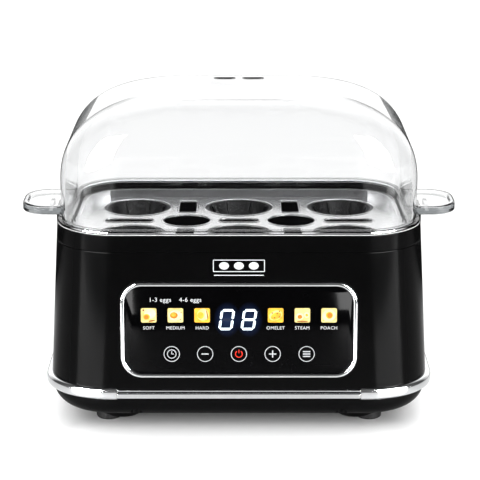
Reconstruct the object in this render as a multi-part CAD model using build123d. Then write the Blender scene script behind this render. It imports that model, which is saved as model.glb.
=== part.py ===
from build123d import *
import math
import os

os.makedirs("parts", exist_ok=True)

# Millimetres. Origin on the table under the middle of the body; front faces -Y, +Z up.

# Body
rim_width = 196.0        # across the rim, left to right
rim_depth = 126.6        # across the rim, front to back
rim_corner = 34.0        # plan radius of the rim's corners
flare = 0.052            # how far each side leans out per mm of drop
wall = 2.4               # plastic wall
fit_gap = 0.2            # clearance between moulded pieces
rim_z = 108.0            # top of the collar
seam_z = 99.0            # collar to housing
band_z = 19.0            # housing to base cover, and underside of the chrome band
band_height = 6.4
floor_z = 7.4            # underside of the base cover

# Collar
collar_lip = 4.9         # width of the collar's top face
tongue = 3.5             # height of the locating tongues
tongue_wall = 1.6
ledge_reach = 2.5        # how far the pan's ledge stands in from the opening
ear_size = (2.4, 18.0, 6.0)  # stands out, width, height
ear_drop = 1.0           # top of the ears below the rim

# Egg pattern
egg_pitch = 58.0
egg_hole = 38.0          # across each egg hole
steam_hole = 26.0
slot_width = 8.0
centre_slot = 22.5
side_slot = 27.5
finger_slot = (9.5, 27.0)
finger_corner = 1.5
finger_place = 31.0      # from the middle to a finger slot, front to back
side_slot_place = 61.0
slot_round = 0.1         # keeps a slot's ends just under a half circle
sheet = 0.8              # rack's sheet metal
deck_z = 100.0           # top of the rack
lip_height = 4.6         # rack's rim above its deck
lip_width = 2.0

# Egg cups
cup_depth = 19.0
cup_foot = 20.0          # across the cup's lower end
cup_wall = 1.6
cup_flange = 2.6         # flange past the egg hole
cup_ribs = 8
cup_foot_lip = 4.8       # width of the foot's inner ledge
rib_thick = 1.2
rib_rise = 1.4           # how far each rib stands in from the cup's wall at the top
rib_root = 1.0           # the same at the foot
rib_back = 0.4           # outer edge of each rib inside the cup's outer face

# Pan and heater
pan_sheet = 1.0
pan_clear = 0.5          # between the pan's wall and the rack's
pan_floor_z = 72.0
pan_corner = 7.0
gasket_height = 1.0
heater_rod = 6.4
heater_size = (104.0, 50.0, 20.0)
thermostat_size = (10.0, 8.0)
blade_size = (0.8, 6.0, 7.0)  # thermostat's terminals
blade_place = 6.0
fuse_size = (3.0, 18.0)
fuse_place = 30.0
cold_end = 8.0           # heater's straight ends behind its loop
cold_place = 10.0
cold_bend = 4.0
shield_z = 56.0
shield_size = (150.0, 88.0)
shield_sheet = 0.8
shield_corner = 18.0
shield_gap = 2.0         # round the thermostat
lead_hole = 3.0
stud_radius = 2.5
stud_place = (66.0, 36.0)
nut_size = (4.2, 3.0)
stud_tail = 4.0          # stud below the shield

# Touch panel
panel_z = 57.1
panel_width = 125.0      # over the chrome trim
panel_height = 51.8
panel_corner = 11.4
trim_width = 2.0
trim_proud = 1.0
trim_flange = 1.3
flange_thick = 1.0
trim_bevel = 0.5
lens_recess = 0.3
lens_thick = 1.8
box_thick = 3.8
board_thick = 1.4
board_margin = 4.0
header_size = (16.0, 4.0, 4.0)
header_drop = 15.0
chip_size = (12.0, 12.0, 1.6)
chip_place = (26.0, -4.0)
small_corner = 0.5
icon_size = 8.8
icon_columns = (48.0, 33.8, 19.6)
icon_rise = 8.0
icon_rim = 1.0           # light box's edge over each icon
icon_corner = 1.5
digit_window = (25.0, 14.0, 7.0)
key_columns = (36.0, 18.0, 0.0)
key_drop = 12.6
spring_radius = 3.6
spring_wire = 0.8
spring_gap = 0.6
display_margin = (3.0, 1.0)   # module past its window
window_margin = (4.0, 2.0)    # light box past the same window

# Chrome band
bumper_end = 65.0        # distance from the middle at which the bumpers start
bumper_proud = 2.8
bumper_front = 1.5
bumper_round = 2.2
rail_thick = 0.7
rail_half = 2.2          # half the strip's height
rail_rib = (2.5, 1.8)
rail_line = (0.8, 1.4)
peg_radius = 2.0
peg_place = 15.0

# Base
base_inset = 1.0
lobe_place = (64.0, 42.0)
lobe_z = 2.0
lobe_foot = (9.0, 7.0)   # half sizes of each lobe at its foot
lobe_root = (21.0, 12.5)  # the same where it meets the underside
lobe_sink = 1.2
boss_grow = 0.6
foot_place = (71.0, 41.5)
foot_radius = 7.0
stem_radius = 3.0
foot_round = 1.2
screw_x = 55.0
screw_radius = 1.5
post_radius = 3.8
post_height = 9.0
post_floor = 1.5         # post left above the screw's hole
screw_sink = 4.0         # screw head's seat below the base's top edge
screw_head = 2.0
screw_slot = (3.6, 0.8, 0.7)
vent_slot = (34.0, 3.0)
vent_corner = 1.4
vent_pitch = 7.0
vent_rows = 2            # rows of slots each side of the middle one

# Power board
power_size = (92.0, 50.0)
power_y = 8.0
power_z = 17.0
board_sheet = 1.6
standoff_radius = 3.0
standoff_edge = 4.0      # standoffs in from the board's edges
pilot_radius = 1.2
board_screw_head = (2.8, 1.8)
board_screw_depth = 5.0

# Parts on the power board: place, then width, depth and height
plug_size = (16.0, 4.0, 4.0)
core_place = (-26.0, 8.0)
core_size = (26.0, 22.0, 20.0)
winding_size = (16.0, 28.0, 14.0)
relay_place = (34.0, 9.0)
relay_size = (10.0, 20.0, 15.0)
can_place = (2.0, 4.0)
can_size = (6.5, 20.0)   # capacitor's radius and height
can_round = 0.8
terminal_place = (14.0, 26.0)
terminal_size = (34.0, 10.0, 12.0)
terminal_pitch = 8.0
terminal_hole = (1.8, 8.0)
buzzer_place = (20.0, -6.0)
buzzer_size = (6.0, 8.0)
buzzer_hole = (1.2, 1.0)
lead_radius = 1.1
lead_bends = (2.5, 4.0, 4.0)
lead_step = 3.0          # leads run back this far before they turn down
lead_drop = 8.0          # lead's first bend below the shield
lead_rise = 26.0         # lead's last bend above the board
ribbon_size = (14.0, 0.8)
ribbon_bend = 4.0
ribbon_step = 10.0

# Cord gland
gland_radius = 5.6
gland_bore = 3.6
gland_z = 34.0
gland_grip = 3.0
gland_nose = 1.3
gland_flange = 2.0

# Lid
lid_inset = 2.2          # lid's wall in from the collar's face
lid_wall = 2.2
bead_height = 2.0
bead_inset = 0.4
skirt_depth = 2.2
skirt_wall = 1.2
lid_straight = 22.0      # upright part of the lid's wall
lid_rise = 45.0          # height of the domed part
lid_arch_x = 56.0        # how far each end arches in
lid_arch_y = 27.0        # how far the front and back shoulders arch in
lid_shoulder = 30.0      # height of those shoulders
arch_power = 2.25        # roundness of the arches
lid_top_corner = 24.0
vent_size = (12.5, 5.0)
vent_place = (8.0, 28.0)
tab_reach = 119.0        # middle of the lid to the end of each tab
tab_width = 40.0
tab_thick = 5.0
tab_corner = 14.0
tab_dish = (3.0, 1.6)    # rim width and depth of the tab's dished top
tongue_width = 12.0
tongue_thick = 2.0
tongue_gap = 2.0         # between the ear and the tongue
dish_curve = 2.5         # dish's length over its corner radius


def rounded(width, depth, corner, z):
    return Plane.XY.offset(z) * RectangleRounded(width, depth, corner)


def outline(z, inset=0.0):
    """The body's outside at height z, drawn in by inset."""
    grow = 2 * flare * (rim_z - z) - 2 * inset
    return rounded(rim_width + grow, rim_depth + grow, rim_corner - inset, z)


def tapered(low, high, inset=0.0):
    return loft([outline(low, inset), outline(high, inset)], ruled=True)


def slab(low, high, inset):
    """Upright block of the rim's outline, drawn in by inset."""
    flat = rounded(rim_width - 2 * inset, rim_depth - 2 * inset, rim_corner - inset, low)
    return extrude(flat, high - low)


def block(x, y, z):
    """Box between three pairs of limits."""
    size = (x[1] - x[0], y[1] - y[0], z[1] - z[0])
    return Pos(sum(x) / 2, sum(y) / 2, sum(z) / 2) * Box(*size)


def rod(x, y, low, high, radius):
    return Pos(x, y, (low + high) / 2) * Cylinder(radius, high - low)


def four(x, y):
    return [(x, y), (-x, y), (-x, -y), (x, -y)]


def front_face(z):
    """Distance from the middle to the body's front face at height z."""
    return rim_depth / 2 + flare * (rim_z - z)


def side_face(z):
    return rim_width / 2 + flare * (rim_z - z)


def on_front(z):
    """Plane on the leaning front face, its own Z pointing out of the body."""
    lean = math.atan(flare)
    normal = (0, -math.cos(lean), math.sin(lean))
    return Plane(origin=(0, -front_face(z), z), x_dir=(1, 0, 0), z_dir=normal)


def front_plate(width, height, corner, inner, outer, x=0.0, rise=0.0):
    """Plate on the touch panel, from depth inner to depth outer."""
    flat = on_front(panel_z).offset(inner) * Pos(x, rise) * RectangleRounded(width, height, corner)
    return extrude(flat, outer - inner)


def back_disc(radius, inner, outer):
    """Disc in the leaning back wall at the cord's height."""
    disc = extrude(on_front(gland_z).offset(inner) * Circle(radius), outer - inner)
    return mirror(disc, about=Plane.XZ)


def save(node, shape):
    export_step(shape, f"parts/{node}.step")


# Heights and insets that follow from the values above
band_top = band_z + band_height
rack_inset = collar_lip + ledge_reach + 2 * fit_gap + pan_sheet + pan_clear
ledge_inset = collar_lip + ledge_reach
flange_z = deck_z + lip_height - sheet
ledge_z = flange_z - pan_sheet - gasket_height
deck_under = deck_z - sheet
pan_under = pan_floor_z - pan_sheet
lens_front = -lens_recess
lens_back = lens_front - lens_thick
box_back = lens_back - box_thick
board_back = box_back - board_thick
screw_y = front_face(band_z) - wall - post_radius + fit_gap
lid_top = rim_z + lid_straight + lid_rise
board_top = power_z + board_sheet
plug_y = power_y - power_size[1] / 2 + standoff_edge
standoff_x = power_size[0] / 2 - standoff_edge
standoff_y = power_size[1] / 2 - standoff_edge
standoffs = [(x, y + power_y) for x, y in four(standoff_x, standoff_y)]
egg_places = [(x * egg_pitch, y * egg_pitch / 2) for y in (-1, 1) for x in (-1, 0, 1)]
icon_places = [side * x for x in icon_columns for side in (-1, 1)]
key_places = sorted({side * x for x in key_columns for side in (-1, 1)})


# --- Lid -----------------------------------------------------------------------------

def arch(rise, reach, height):
    """How far an arch has come in at a given rise, from 0 up to its reach."""
    part = min(max(rise / height, 0.0), 1.0)
    return reach * (1 - (1 - part ** arch_power) ** (1 / arch_power))


def lid_section(z, inset):
    """The dome's plan at height z, drawn in by inset."""
    dome_z = rim_z + lid_straight
    shoulder_z = lid_top - lid_shoulder
    in_x = arch(z - dome_z, lid_arch_x - inset, lid_rise - inset)
    in_y = arch(z - shoulder_z, lid_arch_y - inset, lid_shoulder - inset)
    edge = lid_inset + inset
    share = max(z - dome_z, 0) / lid_rise
    corner = rim_corner - edge - share ** 2 * (rim_corner - lid_inset - lid_top_corner)
    return rounded(rim_width - 2 * (edge + in_x), rim_depth - 2 * (edge + in_y), corner, z)


def lid_dome(inset):
    rise = lid_rise - inset
    steps = [math.sin(math.radians(a)) for a in (0, 14, 28, 41, 53, 64, 74, 82, 90)]
    heights = [rim_z, rim_z + lid_straight / 2]
    heights += [rim_z + lid_straight + rise * step for step in steps]
    return loft([lid_section(z, inset) for z in heights])


def lid_tab(side):
    """Half-oval tab with a dished top and a tongue under it that finds the collar's ear."""
    root = rim_width / 2 - lid_inset - lid_wall / 2
    long = tab_reach - root + tab_corner
    flat = rounded(long, tab_width, tab_corner, rim_z + fit_gap)
    tab = Pos(side * (tab_reach - long / 2), 0, 0) * extrude(flat, tab_thick)
    rim, depth = tab_dish
    dish_root = rim_width / 2 + rim
    dish_long = tab_reach - rim - dish_root
    top = rim_z + fit_gap + tab_thick
    dish_flat = rounded(dish_long, tab_width - 2 * rim, dish_long / dish_curve, top - depth)
    dish = Pos(side * (dish_root + dish_long / 2), 0, 0) * extrude(dish_flat, depth)
    reach = rim_width / 2 + ear_size[0] + tongue_gap
    ends = sorted((side * reach, side * (reach + tongue_thick)))
    low = rim_z - ear_size[2] / 2
    return tab - dish + block(ends, (-tongue_width / 2, tongue_width / 2), (low, rim_z + 1))


def make_lid():
    """Dome, tabs, bead on the collar's top and a skirt just inside the collar."""
    skirt_inset = collar_lip + fit_gap
    outer = lid_dome(0.0)
    for side in (-1, 1):
        outer += lid_tab(side)
    lid = outer - lid_dome(lid_wall)
    low, high = rim_z - skirt_depth, rim_z + bead_height
    ring = slab(rim_z, high, bead_inset) + slab(low, high, skirt_inset)
    lid += ring - slab(low, high, skirt_inset + skirt_wall)
    for side in (-1, 1):
        slot = rounded(*vent_size, vent_size[1] / 2 - 0.1, lid_top - 2 * lid_wall)
        lid -= Pos(side * vent_place[0], vent_place[1], 0) * extrude(slot, 4 * lid_wall)
    return lid


# --- Rack and cups ---------------------------------------------------------------------

def make_rack():
    """Pressed deck with an upturned rim that hangs on the pan's flange."""
    rim_top = deck_z + lip_height
    rack = slab(deck_under, rim_top, rack_inset) - slab(deck_z, rim_top, rack_inset + sheet)
    rack += slab(flange_z, rim_top, rack_inset - lip_width) - slab(flange_z, rim_top, rack_inset)
    below, above = deck_under - 1, deck_z + 1
    for x, y in egg_places:
        rack -= rod(x, y, below, above, egg_hole / 2)
    for x in (-egg_pitch / 2, egg_pitch / 2):
        rack -= rod(x, 0, below, above, steam_hole / 2)
        for y in (-finger_place, finger_place):
            rack -= Pos(x, y) * extrude(rounded(*finger_slot, finger_corner, below), above - below)
    for x, long in ((-side_slot_place, side_slot), (0, centre_slot), (side_slot_place, side_slot)):
        end = slot_width / 2 - slot_round
        rack -= Pos(x, 0) * extrude(rounded(long, slot_width, end, below), above - below)
    return rack


def make_cup(x, y):
    """Ribbed cone with an open foot, its flange against the underside of the deck."""
    low = deck_under - cup_depth
    top_radius = egg_hole / 2 - fit_gap
    foot_r = cup_foot / 2
    slope_h = cup_depth + sheet
    cone = Cone(foot_r, top_radius, slope_h) - Cone(foot_r - cup_wall, top_radius - cup_wall, slope_h)
    cup = Pos(0, 0, low + slope_h / 2) * cone
    flange_r = egg_hole / 2 + cup_flange
    flange = rod(0, 0, deck_under - cup_wall, deck_under, flange_r)
    cup += flange - rod(0, 0, deck_under - cup_wall, deck_under, top_radius - cup_wall)
    foot_top = low + cup_wall
    cup += rod(0, 0, low, foot_top, foot_r) - rod(0, 0, low, foot_top, foot_r - cup_foot_lip)
    profile = Polyline((foot_r - cup_wall - rib_root, foot_top), (foot_r, foot_top),
                       (top_radius - rib_back, deck_under),
                       (top_radius - cup_wall - rib_rise, deck_under), close=True)
    rib = extrude(make_face(Plane.XZ * profile), rib_thick / 2, both=True)
    for n in range(cup_ribs):
        cup += Rot(0, 0, (n + 0.5) * 360 / cup_ribs) * rib
    return Pos(x, y) * cup


# --- Casing ----------------------------------------------------------------------------

def make_collar():
    collar = tapered(seam_z, rim_z)
    collar -= slab(ledge_z, rim_z, collar_lip)
    collar -= slab(seam_z, ledge_z, ledge_inset)
    inner = wall + fit_gap
    low, high = seam_z - tongue, seam_z + 1
    collar += tapered(low, high, inner) - tapered(low, high, inner + tongue_wall)
    thick, wide, tall = ear_size
    low = rim_z - tall - ear_drop
    for side in (-1, 1):
        ends = sorted((side * (rim_width / 2 - 1), side * (rim_width / 2 + thick)))
        collar += block(ends, (-wide / 2, wide / 2), (low, low + tall))
    return collar


def peg_holes(radius):
    z = band_z + band_height / 2
    long = 2 * (side_face(z) + bumper_proud / 2)
    pegs = [Pos(0, y, z) * Rot(0, 90, 0) * Cylinder(radius, long) for y in (-peg_place, peg_place)]
    return pegs[0] + pegs[1]


def make_housing():
    housing = tapered(band_z, seam_z) - tapered(band_z, seam_z, wall)
    for x, y in four(screw_x, screw_y):
        post = rod(x, y, band_z, band_z + post_height, post_radius)
        post &= tapered(band_z, seam_z, wall / 2)
        housing += post
    for x, y in four(screw_x, screw_y):
        housing -= rod(x, y, band_z, band_z + post_height - post_floor, screw_radius - fit_gap)
    gap = 2 * fit_gap
    housing -= front_plate(panel_width + gap, panel_height + gap, panel_corner + fit_gap, -2 * wall, wall)
    housing -= peg_holes(peg_radius + fit_gap / 2)
    return housing - back_disc(gland_radius + fit_gap / 2, -2 * wall, wall)


def make_base():
    """Tub with rounded lower edges, four lobes, screw bosses and a tongue inside the housing."""
    grow = 2 * (flare * (rim_z - band_z) - base_inset)
    width, depth = rim_width + grow, rim_depth + grow
    tub = extrude(rounded(width, depth, rim_corner, floor_z), band_z - floor_z)
    tub = fillet(tub.faces().sort_by(Axis.Z)[0].edges(), band_z - floor_z - 0.1)
    hollow_z = floor_z + wall
    hollow_flat = rounded(width - 2 * wall, depth - 2 * wall, rim_corner - wall, hollow_z)
    hollow = extrude(hollow_flat, band_z - hollow_z)
    hollow = fillet(hollow.faces().sort_by(Axis.Z)[0].edges(), band_z - hollow_z - 0.1)
    bosses = Compound([rod(x, y, floor_z, band_z, post_radius + boss_grow)
                       for x, y in four(screw_x, screw_y)])
    base = (tub - hollow) + (tub & bosses)
    inner = wall + fit_gap
    low, high = band_z - 1, band_z + tongue
    ring = tapered(low, high, inner) - tapered(low, high, inner + tongue_wall)
    for x, y in four(screw_x, screw_y):
        ring -= rod(x, y, band_z, band_z + tongue, post_radius + fit_gap)
    base += ring - peg_holes(peg_radius + fit_gap)
    for x, y in four(*lobe_place):
        low = Plane.XY.offset(lobe_z) * Pos(x, y) * Ellipse(*lobe_foot)
        high = Plane.XY.offset(floor_z + lobe_sink) * Pos(x, y) * Ellipse(*lobe_root)
        base += loft([low, high], ruled=True)
    for x, y in four(*foot_place):
        base -= rod(x, y, lobe_z - 1, floor_z, foot_radius + fit_gap)
        base -= rod(x, y, floor_z, hollow_z, stem_radius + fit_gap / 2)
    for x, y in four(screw_x, screw_y):
        base -= rod(x, y, floor_z - 1, band_z - screw_sink, 2 * screw_radius + fit_gap)
        base -= rod(x, y, floor_z - 1, band_z, screw_radius + fit_gap)
    for x, y in standoffs:
        standoff = rod(x, y, floor_z + wall / 2, power_z, standoff_radius)
        base += standoff - rod(x, y, hollow_z, power_z, pilot_radius)
    for n in range(-vent_rows, vent_rows + 1):
        slot = rounded(*vent_slot, vent_corner, floor_z - 1)
        base -= Pos(0, n * vent_pitch + power_y) * extrude(slot, 2 * wall)
    return base


def make_foot(x, y):
    pad = fillet(rod(x, y, 0, floor_z, foot_radius).edges().sort_by(Axis.Z)[0], foot_round)
    return pad + rod(x, y, floor_z, floor_z + wall, stem_radius)


def make_base_screw(x, y):
    head_z = band_z - screw_sink
    head = rod(x, y, head_z - screw_head, head_z, 2 * screw_radius)
    head -= Pos(x, y, head_z - screw_head) * Box(*screw_slot)
    return head + rod(x, y, head_z, band_z + post_height - screw_head, screw_radius - fit_gap)


def make_bumper(side):
    """Half-round chrome moulding round one end of the body, held by two pegs."""
    mid = band_z + band_height / 2
    width = 2 * (side_face(mid) + bumper_proud)
    depth = 2 * (front_face(mid) + bumper_front)
    ring = extrude(rounded(width, depth, rim_corner + bumper_front, band_z), band_height)
    ring = fillet(ring.edges().group_by(Axis.Z)[0] + ring.edges().group_by(Axis.Z)[-1], bumper_round)
    ring -= tapered(band_z, band_top)
    ring += peg_holes(peg_radius) - tapered(band_z, band_top, wall * 2)
    half = width / 2 + 1
    ends = sorted((side * bumper_end, side * half))
    return ring & block(ends, (-depth, depth), (band_z - 1, band_top + 1))


def make_rail():
    """Flat strip with a broad rib and a fine line above it, between the bumpers."""
    face = on_front(band_z + band_height / 2)
    long = 2 * (bumper_end - fit_gap)
    rib_height, rib_thick = rail_rib
    line_height, line_thick = rail_line
    back = extrude(face * Rectangle(long, 2 * rail_half), rail_thick)
    rib = extrude(face * Pos(0, rib_height / 2 - rail_half) * Rectangle(long, rib_height), rib_thick)
    line = extrude(face * Pos(0, rail_half - line_height / 2) * Rectangle(long, line_height), line_thick)
    return back + rib + line


# --- Touch panel -----------------------------------------------------------------------

def make_trim():
    """Chrome frame through the housing's window, with a flange behind the wall."""
    inner_w, inner_h = panel_width - 2 * trim_width, panel_height - 2 * trim_width
    inner_r = panel_corner - trim_width
    trim = front_plate(panel_width, panel_height, panel_corner, box_back, trim_proud)
    trim -= front_plate(inner_w, inner_h, inner_r, box_back, trim_proud)
    trim = chamfer(trim.faces().sort_by(on_front(panel_z).location.z_axis)[-1].edges(), trim_bevel)
    grow = 2 * trim_flange
    back = -wall - fit_gap
    low = back - flange_thick
    flange = front_plate(panel_width + grow, panel_height + grow, panel_corner + trim_flange, low, back)
    return trim + (flange - front_plate(inner_w, inner_h, inner_r, low, back))


def panel_fit(inner, outer, margin=0.0):
    """Plate that fits inside the trim."""
    less = 2 * (trim_width + fit_gap / 2 + margin)
    return front_plate(panel_width - less, panel_height - less, panel_corner - less / 2, inner, outer)


def make_light_box():
    """Black frame with a cell behind each icon, a window for the digits and wells for the springs."""
    box = panel_fit(box_back, lens_back)
    for x in icon_places:
        cell = icon_size - icon_rim
        box -= front_plate(cell, cell, icon_corner, box_back, lens_back, x, icon_rise)
    wide, tall, rise = digit_window
    more_wide, more_tall = window_margin
    box -= front_plate(wide + more_wide, tall + more_tall, small_corner, box_back, lens_back, 0, rise)
    for x in key_places:
        well = on_front(panel_z).offset(box_back) * Pos(x, -key_drop) * Circle(spring_radius + spring_gap)
        box -= extrude(well, box_thick)
    return box


def make_touch_springs():
    springs = []
    for x in key_places:
        place = on_front(panel_z).offset(box_back) * Pos(x, -key_drop)
        ring = extrude(place * Circle(spring_radius), box_thick)
        springs.append(ring - extrude(place * Circle(spring_radius - spring_wire), box_thick))
    return Compound(springs)


def make_control_board():
    board = panel_fit(board_back, box_back, board_margin)
    wide, tall, deep = header_size
    header = front_plate(wide, tall, small_corner, board_back - deep, board_back, 0, -header_drop)
    wide, tall, deep = chip_size
    chip = front_plate(wide, tall, small_corner, board_back - deep, board_back, *chip_place)
    return board + header + chip


def make_display():
    wide, tall, rise = digit_window
    more_wide, more_tall = display_margin
    return front_plate(wide + more_wide, tall + more_tall, small_corner, box_back, lens_back, 0, rise)


# --- Pan and heater --------------------------------------------------------------------

def make_pan():
    inset = ledge_inset + 2 * fit_gap
    outer = slab(pan_under, flange_z, inset)
    outer = fillet(outer.faces().sort_by(Axis.Z)[0].edges(), pan_corner)
    inner = slab(pan_floor_z, flange_z, inset + pan_sheet)
    inner = fillet(inner.faces().sort_by(Axis.Z)[0].edges(), pan_corner - pan_sheet)
    flange = slab(flange_z - pan_sheet, flange_z, collar_lip + fit_gap)
    return (outer + flange) - inner


def make_gasket():
    low, high = ledge_z, ledge_z + gasket_height
    return slab(low, high, collar_lip + 2 * fit_gap) - slab(low, high, ledge_inset + fit_gap)


def heater_path(z):
    """Rounded loop, open at the back where the two cold ends turn out."""
    wide, deep, corner = heater_size
    half, back = wide / 2, deep / 2
    end = back + cold_end
    points = [(cold_place, end, z), (cold_place, back, z), (half, back, z), (half, -back, z),
              (-half, -back, z), (-half, back, z), (-cold_place, back, z), (-cold_place, end, z)]
    return FilletPolyline(*points, radius=[cold_bend, corner, corner, corner, corner, cold_bend])


def make_heater():
    path = heater_path(pan_under - heater_rod / 2)
    section = Plane(origin=path @ 0, z_dir=path % 0) * Circle(heater_rod / 2)
    return sweep(section, path=path)


def make_thermostat():
    radius, tall = thermostat_size
    body = rod(0, 0, pan_under - tall, pan_under, radius)
    thick, wide, long = blade_size
    for x in (-blade_place, blade_place):
        low = pan_under - tall - long
        body += block((x - thick / 2, x + thick / 2), (-wide / 2, wide / 2), (low, low + long))
    return body


def make_fuse():
    radius, long = fuse_size
    return Pos(fuse_place, 0, pan_under - radius) * Rot(90, 0, 0) * Cylinder(radius, long)


def make_shield():
    wide, deep = shield_size
    below, above = shield_z - 1, shield_z + shield_sheet + 1
    shield = extrude(rounded(wide, deep, shield_corner, shield_z), shield_sheet)
    shield -= rod(0, 0, below, above, thermostat_size[0] + shield_gap)
    for x, y in four(*stud_place):
        shield -= rod(x, y, below, above, stud_radius)
    for x in (-cold_place, cold_place):
        shield -= rod(x, heater_size[1] / 2 + cold_end + lead_step, below, above, lead_hole)
    return shield


def make_studs():
    studs = []
    for x, y in four(*stud_place):
        radius, tall = nut_size
        nut = Pos(x, y, shield_z - tall) * extrude(RegularPolygon(radius, 6), tall)
        sleeve = rod(x, y, shield_z + shield_sheet, pan_under, stud_radius + 1)
        studs.append(rod(x, y, shield_z - stud_tail, pan_under, stud_radius) + nut + sleeve)
    return Compound(studs)


# --- Power electronics -----------------------------------------------------------------

def on_board(place, size):
    x, y = place
    width, depth, height = size
    ends = (x - width / 2, x + width / 2)
    return block(ends, (y - depth / 2, y + depth / 2), (board_top, board_top + height))


def make_power_board():
    wide, deep = power_size
    board = block((-wide / 2, wide / 2), (power_y - deep / 2, power_y + deep / 2), (power_z, board_top))
    for x, y in standoffs:
        board -= rod(x, y, power_z - 1, board_top + 1, board_sheet)
    return board + on_board((0, plug_y), plug_size)


def make_transformer():
    return on_board(core_place, core_size) + on_board(core_place, winding_size)


def make_capacitor():
    radius, tall = can_size
    can = rod(*can_place, board_top, board_top + tall, radius)
    return fillet(can.edges().sort_by(Axis.Z)[-1], can_round)


def make_terminal_block():
    body = on_board(terminal_place, terminal_size)
    x, y = terminal_place
    top = board_top + terminal_size[2]
    radius, deep = terminal_hole
    for n in (-1.5, -0.5, 0.5, 1.5):
        body -= rod(x + n * terminal_pitch, y, top - deep, top + 1, radius)
    return body


def make_buzzer():
    radius, tall = buzzer_size
    hole, deep = buzzer_hole
    top = board_top + tall
    return rod(*buzzer_place, board_top, top, radius) - rod(*buzzer_place, top - deep, top, hole)


def make_board_screws():
    radius, tall = board_screw_head
    screws = []
    for x, y in standoffs:
        head = rod(x, y, board_top, board_top + tall, radius)
        screws.append(head + rod(x, y, power_z - board_screw_depth, board_top, pilot_radius))
    return Compound(screws)


def make_leads():
    """Two wires from the heater's cold ends down to the terminal block."""
    heater_z = pan_under - heater_rod / 2
    start_y = heater_size[1] / 2 + cold_end
    x, y = terminal_place
    wires = []
    for side in (-1, 1):
        start = side * cold_place
        end = x + side * 1.5 * terminal_pitch
        points = [(start, start_y, heater_z), (start, start_y + lead_step, heater_z),
                  (start, start_y + lead_step, shield_z - lead_drop),
                  (end, y, power_z + lead_rise), (end, y, board_top + terminal_size[2])]
        path = FilletPolyline(*points, radius=list(lead_bends))
        wires.append(sweep(Plane(origin=path @ 0, z_dir=path % 0) * Circle(lead_radius), path=path))
    return Compound(wires)


def make_ribbon():
    """Flat cable from the control board down to the power board."""
    end = board_back - header_size[2] - fit_gap
    header = on_front(panel_z).from_local_coords(Vector(0, -header_drop, end))
    points = [header, header + Vector(0, ribbon_step, 0), (0, plug_y, header.Z - 2),
              (0, plug_y, board_top + plug_size[2])]
    path = FilletPolyline(*points, radius=ribbon_bend)
    section = Plane(origin=path @ 0, x_dir=(1, 0, 0), z_dir=path % 0) * Rectangle(*ribbon_size)
    return sweep(section, path=path)


def make_gland():
    """Flanged rubber grommet in the back wall, with a bore for the cord."""
    inner, outer = -wall - gland_grip, gland_nose
    wide = gland_radius + gland_flange
    gland = back_disc(gland_radius, inner, outer)
    gland += back_disc(wide, 0, outer) + back_disc(wide, inner, -wall)
    return gland - back_disc(gland_bore, inner, outer)


save("lid", make_lid())
save("egg_rack", make_rack())
for number, (cup_x, cup_y) in enumerate(egg_places, 1):
    save(f"egg_cup_{number}", make_cup(cup_x, cup_y))

save("upper_collar", make_collar())
save("housing_shell", make_housing())
save("base_cover", make_base())
for number, (foot_x, foot_y) in enumerate(four(*foot_place), 1):
    save(f"foot_{number}", make_foot(foot_x, foot_y))
save("base_screws", Compound([make_base_screw(x, y) for x, y in four(screw_x, screw_y)]))
save("left_bumper", make_bumper(-1))
save("right_bumper", make_bumper(1))
save("front_rail", make_rail())
save("rear_rail", mirror(make_rail(), about=Plane.XZ))
save("cord_gland", make_gland())

save("panel_trim", make_trim())
save("panel_lens", panel_fit(lens_back, lens_front))
save("icon_light_box", make_light_box())
save("display_module", make_display())
save("touch_springs", make_touch_springs())
save("control_board", make_control_board())
save("ribbon_cable", make_ribbon())

save("heating_pan", make_pan())
save("pan_gasket", make_gasket())
save("heater_tube", make_heater())
save("thermostat", make_thermostat())
save("thermal_fuse", make_fuse())
save("heat_shield", make_shield())
save("shield_studs", make_studs())
save("heater_leads", make_leads())

save("power_board", make_power_board())
save("transformer", make_transformer())
save("relay", on_board(relay_place, relay_size))
save("capacitor", make_capacitor())
save("terminal_block", make_terminal_block())
save("buzzer", make_buzzer())
save("board_screws", make_board_screws())
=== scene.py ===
import math

import bmesh
import bpy
from mathutils import Matrix, Vector


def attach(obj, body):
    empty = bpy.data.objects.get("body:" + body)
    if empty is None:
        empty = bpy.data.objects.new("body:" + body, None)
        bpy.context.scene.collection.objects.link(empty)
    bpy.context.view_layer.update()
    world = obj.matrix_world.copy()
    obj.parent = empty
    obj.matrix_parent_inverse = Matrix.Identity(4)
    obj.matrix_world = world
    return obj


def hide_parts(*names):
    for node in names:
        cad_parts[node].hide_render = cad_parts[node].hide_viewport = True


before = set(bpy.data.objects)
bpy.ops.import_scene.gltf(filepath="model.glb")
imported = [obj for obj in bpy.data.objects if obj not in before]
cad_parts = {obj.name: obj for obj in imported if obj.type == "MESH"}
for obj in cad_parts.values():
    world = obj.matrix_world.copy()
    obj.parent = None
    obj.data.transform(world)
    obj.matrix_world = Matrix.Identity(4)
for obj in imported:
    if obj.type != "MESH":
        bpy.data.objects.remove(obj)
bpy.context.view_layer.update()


# ---------------------------------------------------------------- base cover
# The underside is one satin black moulding with four lobes, and it is held
# by four zinc screws. Soft rubber feet are pressed into the lobes.

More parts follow.
